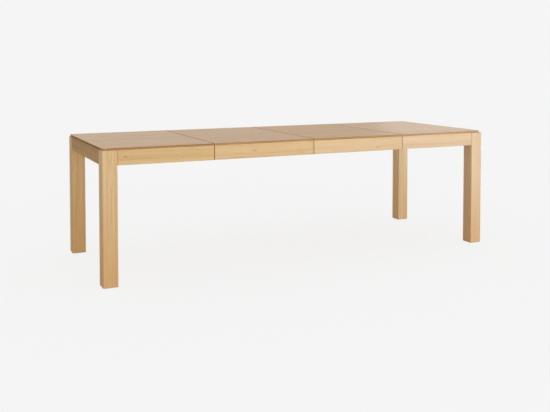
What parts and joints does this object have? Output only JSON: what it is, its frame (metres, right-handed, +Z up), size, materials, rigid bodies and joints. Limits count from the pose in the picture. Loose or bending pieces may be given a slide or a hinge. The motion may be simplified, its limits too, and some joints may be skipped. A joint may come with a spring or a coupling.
{
  "type": "extending dining table",
  "caption": "Oak extending dining table with square corner legs and matching aprons, drawn out on telescoping runners with skirted lift-in leaves latched under the seams.",
  "frame": {"origin": "on the floor under the middle of the drawn-out table", "axes": "+X along the table to the right-hand half, +Y to the rear, +Z up"},
  "size_m": [2.6, 0.95, 0.77],
  "materials": {
    "top_oak": "satin lacquered light oak veneer, grain along the table",
    "frame_oak": "satin lacquered light oak, grain along each board",
    "inner_beech": "plain planed beech",
    "zinc_steel": "zinc plated steel",
    "glide_nylon": "brown nylon"
  },
  "bodies": {
    "runner_carriage": {"carriage_screws": "zinc_steel", "centre_front_runner": "inner_beech", "centre_rear_runner": "inner_beech", "runner_ties": "inner_beech", "runner_tongues": "inner_beech"},
    "left_half": {"left_apron_battens": "inner_beech", "left_corner_blocks": "inner_beech", "left_end_apron": "frame_oak", "left_foot_glides": "glide_nylon", "left_front_apron": "frame_oak", "left_front_leg": "frame_oak", "left_front_runner": "inner_beech", "left_latch_pivots": "zinc_steel", "left_leg_bolts": "zinc_steel", "left_rear_apron": "frame_oak", "left_rear_leg": "frame_oak", "left_rear_runner": "inner_beech", "left_runner_stops": "zinc_steel", "left_screws": "zinc_steel", "left_seam_batten": "inner_beech", "left_top": "top_oak"},
    "right_half": {"right_apron_battens": "inner_beech", "right_corner_blocks": "inner_beech", "right_end_apron": "frame_oak", "right_foot_glides": "glide_nylon", "right_front_apron": "frame_oak", "right_front_leg": "frame_oak", "right_front_runner": "inner_beech", "right_latch_keepers": "zinc_steel", "right_leg_bolts": "zinc_steel", "right_rear_apron": "frame_oak", "right_rear_leg": "frame_oak", "right_rear_runner": "inner_beech", "right_runner_stops": "zinc_steel", "right_screws": "zinc_steel", "right_seam_batten": "inner_beech", "right_top": "top_oak"},
    "leaf_1": {"leaf_1_front_skirt": "frame_oak", "leaf_1_latch_studs": "zinc_steel", "leaf_1_pegs": "inner_beech", "leaf_1_rear_skirt": "frame_oak", "leaf_1_screws": "zinc_steel", "leaf_1_seam_battens": "inner_beech", "leaf_1_skirt_battens": "inner_beech", "leaf_1_top": "top_oak"},
    "leaf_2": {"leaf_2_front_skirt": "frame_oak", "leaf_2_latch_studs": "zinc_steel", "leaf_2_pegs": "inner_beech", "leaf_2_rear_skirt": "frame_oak", "leaf_2_screws": "zinc_steel", "leaf_2_seam_battens": "inner_beech", "leaf_2_skirt_battens": "inner_beech", "leaf_2_top": "top_oak"},
    "leaf_1_front_latch": {"leaf_1_front_latch": "zinc_steel"},
    "leaf_1_rear_latch": {"leaf_1_rear_latch": "zinc_steel"},
    "leaf_2_front_latch": {"leaf_2_front_latch": "zinc_steel"},
    "leaf_2_rear_latch": {"leaf_2_rear_latch": "zinc_steel"},
    "left_front_latch": {"left_front_latch": "zinc_steel"},
    "left_rear_latch": {"left_rear_latch": "zinc_steel"}
  },
  "joints": [
    {"name": "left_half_slide", "type": "slide", "parent": "runner_carriage", "child": "left_half", "axis": [-1, 0, 0], "range_m": [0, 0.04]},
    {"name": "right_half_slide", "type": "slide", "parent": "runner_carriage", "child": "right_half", "axis": [1, 0, 0], "range_m": [0, 0.04]},
    {"name": "leaf_1_lift", "type": "slide", "parent": "runner_carriage", "child": "leaf_1", "axis": [0, 0, 1], "range_m": [0, 0.4]},
    {"name": "leaf_2_lift", "type": "slide", "parent": "runner_carriage", "child": "leaf_2", "axis": [0, 0, 1], "range_m": [0, 0.4]},
    {"name": "left_front_latch_swing", "type": "hinge", "parent": "left_half", "child": "left_front_latch", "pos_m": [-0.68, -0.15, 0.7162], "axis": [0, 0, 1], "range_deg": [0, 90]},
    {"name": "left_rear_latch_swing", "type": "hinge", "parent": "left_half", "child": "left_rear_latch", "pos_m": [-0.68, 0.15, 0.7162], "axis": [0, 0, -1], "range_deg": [0, 90]},
    {"name": "leaf_1_front_latch_swing", "type": "hinge", "parent": "leaf_1", "child": "leaf_1_front_latch", "pos_m": [-0.03, -0.15, 0.7162], "axis": [0, 0, 1], "range_deg": [0, 90]},
    {"name": "leaf_1_rear_latch_swing", "type": "hinge", "parent": "leaf_1", "child": "leaf_1_rear_latch", "pos_m": [-0.03, 0.15, 0.7162], "axis": [0, 0, -1], "range_deg": [0, 90]},
    {"name": "leaf_2_front_latch_swing", "type": "hinge", "parent": "leaf_2", "child": "leaf_2_front_latch", "pos_m": [0.62, -0.15, 0.7162], "axis": [0, 0, 1], "range_deg": [0, 90]},
    {"name": "leaf_2_rear_latch_swing", "type": "hinge", "parent": "leaf_2", "child": "leaf_2_rear_latch", "pos_m": [0.62, 0.15, 0.7162], "axis": [0, 0, -1], "range_deg": [0, 90]}
  ]
}
